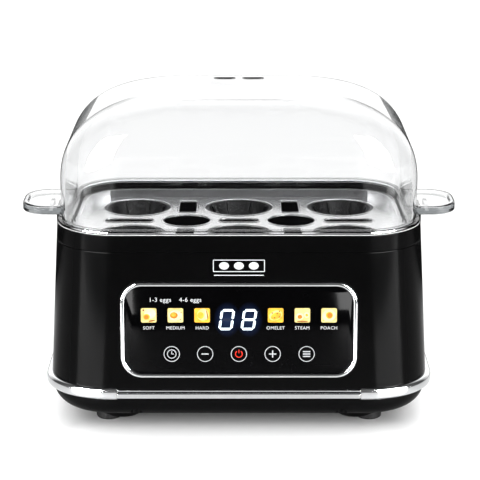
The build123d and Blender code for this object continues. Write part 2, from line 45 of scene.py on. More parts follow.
def mottled(name, colour, roughness, metallic=0.0, grain=400.0, spread=0.06, bump=0.02, tint=0.12):
    """Surface whose colour, roughness and fine relief vary a little, as on any moulded or plated part."""
    material = bpy.data.materials.new(name)
    material.use_nodes = True
    nodes, links = material.node_tree.nodes, material.node_tree.links
    shader = nodes["Principled BSDF"]
    shader.inputs["Metallic"].default_value = metallic
    place = nodes.new("ShaderNodeTexCoord")
    noise = nodes.new("ShaderNodeTexNoise")
    noise.inputs["Scale"].default_value = grain
    noise.inputs["Detail"].default_value = 3.0
    links.new(place.outputs["Object"], noise.inputs["Vector"])
    rough = nodes.new("ShaderNodeMapRange")
    rough.inputs["To Min"].default_value = max(roughness - spread, 0.0)
    rough.inputs["To Max"].default_value = min(roughness + spread, 1.0)
    links.new(noise.outputs["Fac"], rough.inputs["Value"])
    links.new(rough.outputs["Result"], shader.inputs["Roughness"])
    shade = nodes.new("ShaderNodeValToRGB")
    shade.color_ramp.elements[0].position = 0.3
    shade.color_ramp.elements[1].position = 0.7
    shade.color_ramp.elements[0].color = (*(c * (1 - tint) for c in colour), 1.0)
    shade.color_ramp.elements[1].color = (*(min(c * (1 + tint), 1.0) for c in colour), 1.0)
    links.new(noise.outputs["Fac"], shade.inputs["Fac"])
    links.new(shade.outputs["Color"], shader.inputs["Base Color"])
    relief = nodes.new("ShaderNodeBump")
    relief.inputs["Strength"].default_value = bump
    relief.inputs["Distance"].default_value = 0.0002
    links.new(noise.outputs["Fac"], relief.inputs["Height"])
    links.new(relief.outputs["Normal"], shader.inputs["Normal"])
    return material


def set_on(material, **values):
    """Set plain values on the material's own shader sockets."""
    shader = material.node_tree.nodes["Principled BSDF"]
    for name, value in values.items():
        shader.inputs[name.replace("_", " ")].default_value = value
    return material


def dress(material, *nodes):
    """Give carried-over parts their finish."""
    for node in nodes:
        part = bpy.data.objects[node]
        for place in part.material_slots:
            place.link = "OBJECT"
            place.material = material


satin_black = set_on(mottled("satin_black", (0.0022, 0.0022, 0.0024), 0.36, grain=2500, bump=0.12),
                     Specular_IOR_Level=0.03)
rubber_black = set_on(mottled("rubber_black", (0.004, 0.004, 0.004), 0.62, grain=1500, bump=0.2),
                      Specular_IOR_Level=0.12)
zinc = mottled("zinc", (0.55, 0.55, 0.56), 0.34, metallic=1.0, grain=700)
dress(satin_black, "base_cover")
dress(zinc, "base_screws")
dress(rubber_black, "foot_1", "foot_2", "foot_3", "foot_4")


# --------------------------------------------------------- power electronics
# A green board on four posts carries the supply: wound transformer, relay,
# capacitor, buzzer and a white terminal block for the heater's sleeved wires.

board_green = mottled("board_green", (0.015, 0.11, 0.045), 0.3, grain=180, tint=0.3)
dress(board_green, "power_board", "control_board")
dress(mottled("winding_tape", (0.62, 0.42, 0.06), 0.45, grain=300), "transformer")
dress(mottled("relay_blue", (0.02, 0.09, 0.36), 0.25, grain=500), "relay")
dress(satin_black, "capacitor", "buzzer")
dress(mottled("nylon_white", (0.72, 0.70, 0.64), 0.4, grain=800), "terminal_block", "thermostat")
dress(mottled("glass_sleeve", (0.62, 0.58, 0.48), 0.75, grain=2200, bump=0.4), "heater_leads", "thermal_fuse")
dress(mottled("cable_grey", (0.36, 0.36, 0.37), 0.5, grain=900), "ribbon_cable")
dress(zinc, "board_screws")


# ------------------------------------------------------------ pan and heater
# The coated aluminium pan hangs in the collar on a silicone gasket. A steel
# heater loop is brazed under it, over a plain sheet that shields the boards.

dress(set_on(mottled("pan_coating", (0.006, 0.006, 0.0065), 0.4, grain=1800, bump=0.1),
             Specular_IOR_Level=0.12), "heating_pan")
dress(mottled("silicone_red", (0.36, 0.04, 0.025), 0.5, grain=900), "pan_gasket")
dress(mottled("heater_steel", (0.42, 0.41, 0.4), 0.42, metallic=1.0, grain=500), "heater_tube")
dress(mottled("shield_sheet", (0.7, 0.7, 0.71), 0.3, metallic=1.0, grain=120), "heat_shield")
dress(zinc, "shield_studs", "touch_springs")


# ------------------------------------------------------------- housing shell
# The casing is a tapered gloss black moulding, 2.4 mm thick, with a window
# for the touch panel. It drops over the base cover's tongue.

rim_half = (0.098, 0.0633)
rim_corner = 0.034
rim_z = 0.108
flare = 0.052
wall = 0.0024
seam_z = 0.099
band_z = 0.019
panel_z = 0.0571
panel_half = (0.0625, 0.0259)
panel_corner = 0.0114
fit_gap = 0.0002
gland_z = 0.034
gland_radius = 0.0056


def body_outline(z, inset=0.0):
    """Rounded outline of the leaning body at a height: half width, half depth, corner, height."""
    grow = flare * (rim_z - z) - inset
    return rim_half[0] + grow, rim_half[1] + grow, rim_corner - inset, z


def rim_outline(z, inset):
    """The same outline for the upright parts inside the rim."""
    return rim_half[0] - inset, rim_half[1] - inset, rim_corner - inset, z


def verts_of(parts):
    return [part for part in parts if isinstance(part, bmesh.types.BMVert)]


def draw_up(outlines, start=False, end=False, closed=False, steps=16):
    """Skin through rounded outlines, each drawn on from the one before it."""
    bm = bmesh.new()
    half_x, half_y, corner, z = outlines[0]
    bmesh.ops.create_grid(bm, x_segments=1, y_segments=1, size=1.0)
    bmesh.ops.scale(bm, vec=(half_x, half_y, 1.0), verts=bm.verts)
    bmesh.ops.translate(bm, vec=(0, 0, z), verts=bm.verts)
    bmesh.ops.bevel(bm, geom=bm.verts[:], affect="VERTICES", offset=corner, segments=steps,
                    profile=0.5, material=-1)
    edges = bm.edges[:]
    if not start:
        bmesh.ops.delete(bm, geom=bm.faces[:], context="FACES_ONLY")
    outlines = outlines + outlines[:1] if closed else outlines
    for old, new in zip(outlines, outlines[1:]):
        made = bmesh.ops.extrude_edge_only(bm, edges=edges)["geom"]
        ring = set(verts_of(made))
        drawn = [part for part in made if isinstance(part, bmesh.types.BMEdge)]
        edges = [edge for edge in drawn if ring.issuperset(edge.verts)]
        for vert in ring:
            sides = [math.copysign(1, value) for value in vert.co[:2]]
            for axis in (0, 1):
                turn = (abs(vert.co[axis]) - old[axis] + old[2]) / old[2]
                vert.co[axis] = sides[axis] * (new[axis] - new[2] + new[2] * turn)
            vert.co.z = new[3]
    if end:
        bmesh.ops.contextual_create(bm, geom=edges)
    bmesh.ops.remove_doubles(bm, verts=bm.verts, dist=1e-6)
    bmesh.ops.recalc_face_normals(bm, faces=bm.faces)
    return bm


def on_front(z, rise=0.0, x=0.0, depth=0.0):
    """Place on the leaning front face: X to the right, Y up the face and Z out of it."""
    lean = math.atan(flare)
    y = rim_half[1] + flare * (rim_z - z)
    face = Matrix.Translation((0, -y, z)) @ Matrix.Rotation(math.pi / 2 - lean, 4, "X")
    return face @ Matrix.Translation((x, rise, depth))


def moved(bm, place):
    bmesh.ops.transform(bm, matrix=place, verts=bm.verts)
    return bm


def make_piece(name, bm, materials, angle=32.0):
    """Turn a finished bmesh into a smooth-shaded object with its sharp edges kept."""
    mesh = bpy.data.meshes.new(name)
    bm.to_mesh(mesh)
    bm.free()
    piece = bpy.data.objects.new(name, mesh)
    bpy.context.scene.collection.objects.link(piece)
    for material in materials if isinstance(materials, list) else [materials]:
        mesh.materials.append(material)
    mesh.shade_smooth()
    mesh.set_sharp_from_angle(angle=math.radians(angle))
    return piece


def carve(piece, tool, operation="DIFFERENCE"):
    """Cut a solid out of the piece, or join it on."""
    mesh = bpy.data.meshes.new("tool")
    tool.to_mesh(mesh)
    tool.free()
    helper = bpy.data.objects.new("tool", mesh)
    bpy.context.scene.collection.objects.link(helper)
    step = piece.modifiers.new("carve", "BOOLEAN")
    step.operation = operation
    step.solver = "EXACT"
    step.object = helper
    graph = bpy.context.evaluated_depsgraph_get()
    shaped = bpy.data.meshes.new_from_object(piece.evaluated_get(graph))
    piece.modifiers.clear()
    rough = piece.data
    piece.data = shaped
    bpy.data.meshes.remove(rough)
    bpy.data.objects.remove(helper)
    bpy.data.meshes.remove(mesh)
    shaped.shade_smooth()
    shaped.set_sharp_from_angle(angle=math.radians(32))


def soften(piece, width, segments=3, angle=34.0):
    """Round the piece's edges."""
    edge = piece.modifiers.new("edges", "BEVEL")
    edge.width = width
    edge.segments = segments
    edge.limit_method = "ANGLE"
    edge.angle_limit = math.radians(angle)
    edge.harden_normals = True


gloss_black = set_on(mottled("gloss_black", (0.0022, 0.0022, 0.0023), 0.14, grain=90, spread=0.02, bump=0.0,
                             tint=0.05), Specular_IOR_Level=0.04)

housing = make_piece("housing", draw_up([
    body_outline(band_z), body_outline(seam_z),
    body_outline(seam_z, wall), body_outline(band_z, wall)], closed=True), gloss_black)
window = (panel_half[0] + fit_gap, panel_half[1] + fit_gap, panel_corner + fit_gap)
opening = draw_up([(*window, -2 * wall), (*window, wall)], start=True, end=True)
carve(housing, moved(opening, on_front(panel_z)))
hole = bmesh.new()
bmesh.ops.create_cone(hole, cap_ends=True, segments=40, radius1=gland_radius, radius2=gland_radius,
                      depth=0.02)
moved(hole, Matrix.Rotation(math.pi, 4, "Z") @ on_front(gland_z))
carve(housing, hole)
soften(housing, 0.0004, 2)
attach(housing, "base")
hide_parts("housing_shell")
dress(rubber_black, "cord_gland")


# --------------------------------------------------------------- touch panel
# A polished black lens sits in a chrome frame. Behind it, a black light box
# keeps the lit symbols apart, and springs carry each touch key's signal.

trim_width = 0.0020
trim_back = -0.0059
trim_flange = 0.0013
flange_back, flange_front = -0.0036, -0.0026
lens_front = -0.0003
lens_thick = 0.0018
ink = 0.00003
line = 0.0004


def panel_ring(inset, depth):
    return panel_half[0] - inset, panel_half[1] - inset, panel_corner - inset, depth


chrome = mottled("chrome", (0.80, 0.81, 0.82), 0.11, metallic=1.0, grain=60, spread=0.02, bump=0.0, tint=0.02)
trim = make_piece("panel_frame", moved(draw_up([
    panel_ring(0, trim_back), panel_ring(0, flange_back), panel_ring(-trim_flange, flange_back),
    panel_ring(-trim_flange, flange_front), panel_ring(0, flange_front), panel_ring(0, 0.0004),
    panel_ring(0.0002, 0.0008), panel_ring(0.0007, 0.001),
    panel_ring(0.0013, 0.001), panel_ring(0.0018, 0.0008), panel_ring(trim_width, 0.0003),
    panel_ring(trim_width, trim_back)], closed=True), on_front(panel_z)), chrome)
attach(trim, "base")
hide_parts("panel_trim")

# The lens is dark, and it glows faintly blue where the digits light it from behind.
lens_black = mottled("lens_black", (0.0012, 0.0012, 0.0014), 0.06, grain=60, spread=0.015, bump=0.0,
                     tint=0.05)
set_on(lens_black, Specular_IOR_Level=0.045, Emission_Strength=1.0)
tree = lens_black.node_tree
glow_place = tree.nodes.new("ShaderNodeTexCoord")
glow_sum = tree.nodes.new("ShaderNodeMath")
glow_sum.operation = "ADD"
glow_size = (0.0072, 0.020, 0.0098)
for side, across in enumerate((-0.0062, 0.0055)):
    glow_map = tree.nodes.new("ShaderNodeMapping")
    centre = on_front(panel_z, 0.0057, across).translation
    glow_map.inputs["Location"].default_value = [-value / size for value, size in zip(centre, glow_size)]
    glow_map.inputs["Scale"].default_value = [1 / size for size in glow_size]
    glow_ball = tree.nodes.new("ShaderNodeTexGradient")
    glow_ball.gradient_type = "SPHERICAL"
    tree.links.new(glow_place.outputs["Object"], glow_map.inputs["Vector"])
    tree.links.new(glow_map.outputs["Vector"], glow_ball.inputs["Vector"])
    tree.links.new(glow_ball.outputs["Fac"], glow_sum.inputs[side])
glow_tint = tree.nodes.new("ShaderNodeValToRGB")
glow_tint.color_ramp.elements[0].color = (0, 0, 0, 1)
glow_tint.color_ramp.elements[1].color = (0.022, 0.040, 0.105, 1)
middle = glow_tint.color_ramp.elements.new(0.35)
middle.color = (0.005, 0.010, 0.032, 1)
tree.links.new(glow_sum.outputs["Value"], glow_tint.inputs["Fac"])
tree.links.new(glow_tint.outputs["Color"], tree.nodes["Principled BSDF"].inputs["Emission Color"])
lens_edge = trim_width + 0.0001
lens = make_piece("touch_lens", moved(draw_up([
    panel_ring(lens_edge, lens_front - lens_thick), panel_ring(lens_edge, lens_front - 0.0003),
    panel_ring(lens_edge + 0.0001, lens_front - 0.0001), panel_ring(lens_edge + 0.0003, lens_front)],
    start=True, end=True), on_front(panel_z)), lens_black)
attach(lens, "base")
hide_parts("panel_lens")
dress(satin_black, "icon_light_box")
dress(mottled("diffuser", (0.6, 0.7, 0.8), 0.5), "display_module")


def lit(name, colour, strength, patch=None, grain=900.0):
    """Translucent ink lit from behind, with a second colour in it where one is given."""
    material = mottled(name, tuple(c * 0.6 for c in colour), 0.4, grain=grain)
    set_on(material, Emission_Strength=strength, Specular_IOR_Level=0.1)
    nodes, links = material.node_tree.nodes, material.node_tree.links
    ramp = nodes.new("ShaderNodeValToRGB")
    ramp.color_ramp.elements[0].position = 0.35
    ramp.color_ramp.elements[1].position = 0.65
    ramp.color_ramp.elements[0].color = (*(patch or colour), 1)
    ramp.color_ramp.elements[1].color = (*colour, 1)
    links.new(nodes["Noise Texture"].outputs["Fac"], ramp.inputs["Fac"])
    links.new(ramp.outputs["Color"], nodes["Principled BSDF"].inputs["Emission Color"])
    return material


def plate(bm, x, y, width, height, corner, layer=0, index=0, turn=0.0):
    """Thin rounded rectangle of ink."""
    sheet = draw_up([(width / 2, height / 2, corner, 0.0), (width / 2, height / 2, corner, ink)],
                    start=True, end=True, steps=4)
    moved(sheet, Matrix.Translation((x, y, layer * ink)) @ Matrix.Rotation(math.radians(turn), 4, "Z"))
    join(bm, sheet, index)


def spot(bm, x, y, width, height, layer=0, index=0, turn=0.0):
    """Thin oval of ink."""
    disc = bmesh.new()
    size = Matrix.Diagonal((width / 2, height / 2, ink, 1))
    place = Matrix.Translation((x, y, (layer + 0.5) * ink)) @ Matrix.Rotation(math.radians(turn), 4, "Z")
    bmesh.ops.create_cone(disc, cap_ends=True, segments=28, radius1=1, radius2=1, depth=1,
                          matrix=place @ size)
    join(bm, disc, index)


def band(bm, x, y, radius, width, start=0.0, sweep=360.0, index=0):
    """Thin ring of ink, or a part of one."""
    arc = bmesh.new()
    section = ((-1, 0), (1, 0), (1, ink), (-1, ink))
    corners = [arc.verts.new((radius + side * width / 2, 0, z)) for side, z in section]
    edges = [arc.edges.new((corners[n - 1], corners[n])) for n in range(4)]
    full = sweep >= 360
    if not full:
        bmesh.ops.contextual_create(arc, geom=edges)
    made = bmesh.ops.spin(arc, geom=arc.verts[:] + arc.edges[:] + arc.faces[:], angle=math.radians(sweep),
                          axis=(0, 0, 1), steps=36, use_merge=full)
    bmesh.ops.remove_doubles(arc, verts=arc.verts, dist=1e-7)
    bmesh.ops.recalc_face_normals(arc, faces=arc.faces)
    moved(arc, Matrix.Translation((x, y, 0)) @ Matrix.Rotation(math.radians(start), 4, "Z"))
    join(bm, arc, index)


def join(bm, other, index=0):
    """Add one bmesh to another, with its faces on the given material."""
    for face in other.faces:
        face.material_index = index
    mesh = bpy.data.meshes.new("joined")
    other.to_mesh(mesh)
    other.free()
    bm.from_mesh(mesh)
    bpy.data.meshes.remove(mesh)


def words(bm, text, x, y, size, index=0):
    """Printed text, made of thin solid letters."""
    curve = bpy.data.curves.new("text", "FONT")
    curve.body = text
    curve.size = size
    curve.align_x = "CENTER"
    curve.align_y = "CENTER"
    curve.extrude = ink / 2
    curve.resolution_u = 3
    curve.space_character = 1.08
    holder = bpy.data.objects.new("text", curve)
    bpy.context.scene.collection.objects.link(holder)
    graph = bpy.context.evaluated_depsgraph_get()
    mesh = bpy.data.meshes.new_from_object(holder.evaluated_get(graph))
    letters = bmesh.new()
    letters.from_mesh(mesh)
    bmesh.ops.remove_doubles(letters, verts=letters.verts, dist=1e-7)
    moved(letters, Matrix.Translation((x, y, ink / 2)))
    join(bm, letters, index)
    bpy.data.objects.remove(holder)
    bpy.data.curves.remove(curve)
    bpy.data.meshes.remove(mesh)


def print_on_panel(name, bm, materials, x=0.0, rise=0.0):
    piece = make_piece(name, moved(bm, on_front(panel_z, rise, x, lens_front)), materials)
    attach(piece, "base")
    return piece


# Lit pictures of the six ways to cook eggs, over a captioned row.
cream = lit("icon_cream", (0.80, 0.68, 0.26), 0.75, (0.70, 0.42, 0.08), 300)
yellow = lit("icon_yellow", (0.90, 0.50, 0.04), 0.72, (0.78, 0.28, 0.02), 330)
orange = lit("icon_orange", (0.85, 0.16, 0.01), 0.8, (0.85, 0.26, 0.01), 500)
brown = lit("icon_brown", (0.40, 0.12, 0.02), 0.6, (0.16, 0.05, 0.01), 700)
white_ink_glow = lit("white_ink_glow", (0.80, 0.82, 0.84), 0.55)
egg_white = lit("icon_egg_white", (0.84, 0.80, 0.46), 0.75, (0.72, 0.62, 0.24), 420)
icon = 0.0082
icon_inks = [cream, yellow, orange, brown, egg_white]
CREAM, YELLOW, ORANGE, BROWN, WHITE = range(5)


def picture(name, x, ground, marks):
    """One lit picture: its ground, and the ovals that lie on it in order."""
    bm = bmesh.new()
    plate(bm, 0, 0, icon, icon * 0.95, 0.0008, 0, ground)
    for layer, (across, up, width, height, turn, colour) in enumerate(marks, 1):
        spot(bm, across * icon, up * icon, width * icon, height * icon, layer, colour, turn)
    print_on_panel(name, bm, icon_inks, x, 0.00805)


picture("icon_soft", -0.0476, CREAM, [
    (0.08, 0.10, 0.74, 0.66, 20, WHITE), (-0.14, -0.10, 0.44, 0.40, 0, YELLOW),
    (-0.15, -0.11, 0.30, 0.27, 0, ORANGE), (0.20, -0.36, 0.44, 0.10, 12, BROWN),
    (-0.34, 0.34, 0.12, 0.12, 0, BROWN)])
picture("icon_medium", -0.0335, CREAM, [
    (0.0, 0.0, 0.86, 0.70, 10, WHITE), (-0.10, 0.0, 0.50, 0.42, 0, ORANGE),
    (-0.12, 0.04, 0.30, 0.24, 0, YELLOW), (0.36, 0.18, 0.07, 0.07, 0, BROWN),
    (0.32, -0.26, 0.08, 0.07, 0, BROWN)])
picture("icon_hard", -0.0194, YELLOW, [
    (0.05, 0.05, 0.74, 0.80, -15, CREAM), (-0.10, 0.0, 0.42, 0.46, 0, YELLOW),
    (0.33, 0.05, 0.07, 0.66, 8, BROWN), (0.24, 0.02, 0.07, 0.60, 8, WHITE)])
picture("icon_omelet", 0.0194, YELLOW, [
    (0.0, 0.0, 0.88, 0.62, 25, CREAM), (0.02, -0.04, 0.70, 0.44, 25, YELLOW),
    (-0.22, 0.16, 0.10, 0.09, 0, BROWN), (0.10, 0.12, 0.10, 0.09, 0, BROWN),
    (-0.06, -0.16, 0.10, 0.09, 0, BROWN), (0.26, -0.10, 0.10, 0.08, 0, BROWN),
    (0.24, 0.28, 0.08, 0.08, 0, BROWN)])
picture("icon_steam", 0.0335, CREAM, [
    (-0.16, -0.08, 0.50, 0.46, 0, WHITE), (-0.16, -0.10, 0.30, 0.27, 0, ORANGE),
    (0.28, 0.02, 0.34, 0.38, 0, WHITE), (0.28, 0.02, 0.18, 0.19, 0, YELLOW),
    (0.0, -0.40, 0.74, 0.08, 0, BROWN)])
picture("icon_poach", 0.0476, CREAM, [
    (0.0, 0.0, 0.84, 0.78, 15, WHITE), (0.02, 0.0, 0.46, 0.46, 0, YELLOW), (0.04, 0.0, 0.33, 0.33, 0, ORANGE),
    (-0.36, -0.34, 0.10, 0.08, 0, YELLOW)])

print_bm = bmesh.new()
for across, caption in zip((-0.0476, -0.0335, -0.0194, 0.0194, 0.0335, 0.0476),
                           ("SOFT", "MEDIUM", "HARD", "OMELET", "STEAM", "POACH")):
    words(print_bm, caption, across, 0.0011, 0.0025)
words(print_bm, "1-3 eggs", -0.0416, 0.0164, 0.0033)
words(print_bm, "4-6 eggs", -0.0256, 0.0164, 0.0033)
print_on_panel("captions", print_bm, white_ink_glow)

# The two slanted digits: lit segments, and the unlit bar of the nought.
digit_size = (0.0062, 0.0102)
bar = 0.00125
digit_white = lit("digit_white", (0.80, 0.92, 1.0), 1.6)
digit_dim = lit("digit_dim", (0.006, 0.012, 0.035), 1.0)


def segment(bm, x, y, long, upright, index=0):
    """Six-sided bar with pointed ends."""
    half, tip = bar / 2, long / 2
    outline = [(-tip, 0), (half - tip, -half), (tip - half, -half),
               (tip, 0), (tip - half, half), (half - tip, half)]
    shape = bmesh.new()
    face = shape.faces.new([shape.verts.new((*point, 0)) for point in outline])
    raised = bmesh.ops.extrude_face_region(shape, geom=[face])["geom"]
    bmesh.ops.translate(shape, vec=(0, 0, ink), verts=verts_of(raised))
    bmesh.ops.recalc_face_normals(shape, faces=shape.faces)
    moved(shape, Matrix.Translation((x, y, ink)) @ Matrix.Rotation(math.pi / 2 if upright else 0, 4, "Z"))
    join(bm, shape, index)


slant = Matrix.Identity(4)
slant[0][1] = math.tan(math.radians(8))
digits = bmesh.new()
for across, unlit in ((-0.00645, True), (0.0053, False)):
    shape = bmesh.new()
    wide, tall = digit_size
    for level in (-1, 0, 1):
        segment(shape, 0, level * tall / 2, wide - 0.0004, False, int(unlit and level == 0))
    for side in (-1, 1):
        for level in (-1, 1):
            segment(shape, side * wide / 2, level * tall / 4, tall / 2 - 0.0004, True)
    moved(shape, Matrix.Translation((across, 0.0057, 0)) @ slant)
    mesh = bpy.data.meshes.new("digit")
    shape.to_mesh(mesh)
    shape.free()
    digits.from_mesh(mesh)
    bpy.data.meshes.remove(mesh)
print_on_panel("digits", digits, [digit_white, digit_dim])

# The five touch keys: a ring round each, with a symbol in it.
key_ink = lit("key_ink", (0.62, 0.64, 0.66), 0.5)
key_red = lit("key_red", (0.85, 0.03, 0.01), 0.9)
key_up = -0.0131
keys = bmesh.new()
for across in (-0.0356, -0.0179, 0.0, 0.0179, 0.0359):
    band(keys, across, key_up, 0.0041, 0.00036)
band(keys, -0.0356, key_up, 0.0023, line)
plate(keys, -0.0356, key_up + 0.0007, line, 0.0016, line / 3)
plate(keys, -0.0351, key_up, 0.0013, line, line / 3)
plate(keys, -0.0179, key_up, 0.0038, 0.0006, 0.0002)
plate(keys, 0.0179, key_up, 0.0040, 0.0006, 0.0002)
plate(keys, 0.0179, key_up, 0.0006, 0.0040, 0.0002)
for step in (-1, 0, 1):
    plate(keys, 0.0359, key_up + step * 0.0013, 0.0040, 0.0006, 0.0002)
band(keys, 0, key_up, 0.0018, line, 125, 290, 1)
plate(keys, 0, key_up + 0.0014, line, 0.0019, line / 3, 0, 1)
print_on_panel("touch_keys", keys, [key_ink, key_red])

# A plain mark of three eggs in a box stands above the panel.
mark = bmesh.new()
mark_wide, mark_tall = 0.0268, 0.0062
for side in (-1, 1):
    plate(mark, 0, side * mark_tall / 2, mark_wide, line, line / 3)
    plate(mark, side * mark_wide / 2, 0, line, mark_tall, line / 3)
for step in (-1, 0, 1):
    spot(mark, step * 0.0078, 0, 0.0052, 0.0040)
plate(mark, 0, -0.0051, 0.0262, 0.0004, 0.0001)
# The mark's print glows like the panel's backlit inks, though nothing lights it here: painted light.
mark = make_piece("egg_mark", moved(mark, on_front(0.0920)), white_ink_glow)
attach(mark, "base")


# --------------------------------------------------------------- chrome band
# Two plated mouldings wrap the ends of the body above the base seam, each on
# two pegs. Thin plated strips run between them at the front and the back.

bumper_half = (0.1053, 0.0693)
bumper_corner = 0.0355
bumper_round = 0.0022
bumper_end = 0.065
band_top = 0.0254


def bumper_ring():
    """Half-round moulding all the way round the body."""
    rings = []
    for level, turn in ((band_z + bumper_round, -90), (band_top - bumper_round, 0)):
        for step in range(5):
            angle = math.radians(turn + step * 22.5)
            inset = bumper_round * (1 - math.cos(angle))
            rings.append((bumper_half[0] - inset, bumper_half[1] - inset, bumper_corner - inset,
                          level + bumper_round * math.sin(angle)))
    rings += [body_outline(band_top, 0.0001), body_outline(band_z, 0.0001)]
    return draw_up(rings, closed=True)


for node, side in (("left_bumper", -1), ("right_bumper", 1)):
    bm = bumper_ring()
    bmesh.ops.bisect_plane(bm, geom=bm.verts[:] + bm.edges[:] + bm.faces[:], dist=1e-6,
                           plane_co=(side * bumper_end, 0, 0), plane_no=(-side, 0, 0), clear_outer=True)
    bmesh.ops.edgeloop_fill(bm, edges=[edge for edge in bm.edges if edge.is_boundary])
    bmesh.ops.recalc_face_normals(bm, faces=bm.faces)
    bumper = make_piece(node + "_chrome", bm, chrome)
    soften(bumper, 0.0013, 5, 50)
    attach(bumper, "base")
    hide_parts(node)

# A strip's section, as height and depth: a rib, a black groove and a fine line.
rail_profile = [(-0.0022, 0), (-0.0022, 0.0018), (0.0003, 0.0018), (0.0003, 0.0007),
                (0.0014, 0.0007), (0.0014, 0.0014), (0.0022, 0.0014), (0.0022, 0)]
rail_half = bumper_end - fit_gap
for name, node, turn in (("front_strip", "front_rail", 0), ("rear_strip", "rear_rail", 180)):
    bm = bmesh.new()
    face = bm.faces.new([bm.verts.new((-rail_half, *point)) for point in rail_profile])
    drawn = bmesh.ops.extrude_face_region(bm, geom=[face])["geom"]
    bmesh.ops.translate(bm, vec=(2 * rail_half, 0, 0), verts=verts_of(drawn))
    bmesh.ops.recalc_face_normals(bm, faces=bm.faces)
    middle_z = (band_z + band_top) / 2
    moved(bm, Matrix.Rotation(math.radians(turn), 4, "Z") @ on_front(middle_z))
    strip = make_piece(name, bm, [chrome, satin_black])
    for face in strip.data.polygons:
        level = (face.center.z - middle_z) / (band_top - band_z)
        face.material_index = int(abs(face.normal.y) > 0.9 and 0.06 < level < 0.2 and face.area > 0.0001)
    soften(strip, 0.0003, 3)
    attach(strip, "base")
    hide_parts(node)


# -------------------------------------------------------------------- collar
# The collar is the body's gloss black top ring. The lid rests on it, the pan
# hangs on its inner ledge, and an ear on each side takes the lid's tongue.

collar_lip = 0.0049
ledge = 0.0074
ledge_z = 0.1018
tongue_z = seam_z - 0.0035
tongue_outer = wall + fit_gap
tongue_inner = tongue_outer + 0.0016
ear_size = (0.0034, 0.018, 0.006)
ear_place = (rim_half[0] + 0.0007, 0.104)
bm = draw_up([
    body_outline(seam_z), body_outline(rim_z), rim_outline(rim_z, collar_lip),
    rim_outline(ledge_z, collar_lip), rim_outline(ledge_z, ledge), rim_outline(seam_z, ledge),
    body_outline(seam_z, tongue_inner), body_outline(tongue_z, tongue_inner),
    body_outline(tongue_z, tongue_outer), body_outline(seam_z, tongue_outer)], closed=True)
for side in (-1, 1):
    place = Matrix.Translation((side * ear_place[0], 0, ear_place[1]))
    bmesh.ops.create_cube(bm, size=1.0, matrix=place @ Matrix.Diagonal((*ear_size, 1)))
collar = make_piece("collar", bm, gloss_black)
soften(collar, 0.0005, 3)
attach(collar, "base")
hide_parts("upper_collar")


# ---------------------------------------------------------------------- rack
# The rack is one bright steel pressing: six egg holes, two steam holes, three
# cross slots and four finger slots, every one with a rolled edge.

deck_z = 0.100
sheet = 0.0008
rack_inset = 0.0093
egg_pitch = 0.058
egg_hole = 0.019
steam_hole = 0.013
egg_places = [(x * egg_pitch, y * egg_pitch / 2) for y in (-1, 1) for x in (-1, 0, 1)]
rim_top = 0.1046
rim_under = rim_top - sheet
rim_lip = rack_inset - 0.002
rack_steel = mottled("rack_steel", (0.78, 0.78, 0.785), 0.22, metallic=1.0, grain=2200, spread=0.04,
                     bump=0.03, tint=0.04)
rim_painted_reflection = mottled("rim_painted_reflection", (0.045, 0.045, 0.047), 0.3, metallic=0.6, grain=900, spread=0.05)

rack = make_piece("rack", draw_up([
    rim_outline(deck_z - sheet, rack_inset), rim_outline(rim_under, rack_inset),
    rim_outline(rim_under, rim_lip), rim_outline(rim_top, rim_lip), rim_outline(rim_top, rack_inset + sheet),
    rim_outline(deck_z, rack_inset + sheet)], start=True, end=True), rack_steel)
slots = [(x, y * (egg_pitch / 2 + 0.002), 0.00475, 0.0135, 0.0015)
         for x in (-egg_pitch / 2, egg_pitch / 2) for y in (-1, 1)]
slots += [(x, 0, half, 0.004, 0.0039) for x, half in ((0, 0.01125), (-0.061, 0.01375), (0.061, 0.01375))]
rounds = [(x, y, egg_hole) for x, y in egg_places]
rounds += [(x, 0, steam_hole) for x in (-egg_pitch / 2, egg_pitch / 2)]
for x, y, radius in rounds:
    punch = bmesh.new()
    bmesh.ops.create_cone(punch, cap_ends=True, segments=64, radius1=radius, radius2=radius, depth=0.006,
                          matrix=Matrix.Translation((x, y, deck_z)))
    carve(rack, punch)
for x, y, half_x, half_y, corner in slots:
    carve(rack, moved(draw_up([(half_x, half_y, corner, -0.003), (half_x, half_y, corner, 0.003)],
                              start=True, end=True, steps=8), Matrix.Translation((x, y, deck_z))))
# The rim's front and back walls get a near-black steel finish: a painted dark reflection on the one bright
# pressing.
rack.data.materials.append(rim_painted_reflection)
for face in rack.data.polygons:
    inner_wall = abs(face.normal.y) > 0.5 and deck_z - 0.0001 < face.center.z < rim_top + 0.0001
    face.material_index = int(inner_wall and abs(face.center.y) > 0.05)
soften(rack, 0.0003, 2)
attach(rack, "rack")
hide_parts("egg_rack")

# Rolled lips round the holes and slots.
lip = [(0.0012, 0.0), (0.0009, 0.0003), (0.0005, 0.00045), (0.0001, 0.0003), (0.0, -0.0001), (0.0, -0.0008)]
for number, (x, y, radius) in enumerate(rounds, 1):
    bm = bmesh.new()
    points = [bm.verts.new((radius + out, 0, up)) for out, up in lip]
    for first, second in zip(points, points[1:]):
        bm.edges.new((first, second))
    bmesh.ops.spin(bm, geom=bm.verts[:] + bm.edges[:], angle=2 * math.pi, axis=(0, 0, 1), steps=64,
                   use_merge=True)
    bmesh.ops.recalc_face_normals(bm, faces=bm.faces)
    if max(bm.faces, key=lambda f: f.calc_center_median().z).normal.z < 0:
        bmesh.ops.reverse_faces(bm, faces=bm.faces)
    moved(bm, Matrix.Translation((x, y, deck_z)))
    rolled = make_piece(f"rolled_edge_{number}", bm, rack_steel, 60)
    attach(rolled, "rack")
for number, (x, y, half_x, half_y, corner) in enumerate(slots, 1):
    bm = draw_up([(half_x + out, half_y + out, corner + out, up) for out, up in lip], steps=8)
    if max(bm.faces, key=lambda f: f.calc_center_median().z).normal.z < 0:
        bmesh.ops.reverse_faces(bm, faces=bm.faces)
    moved(bm, Matrix.Translation((x, y, deck_z)))
    rolled = make_piece(f"rolled_slot_{number}", bm, rack_steel, 60)
    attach(rolled, "rack")


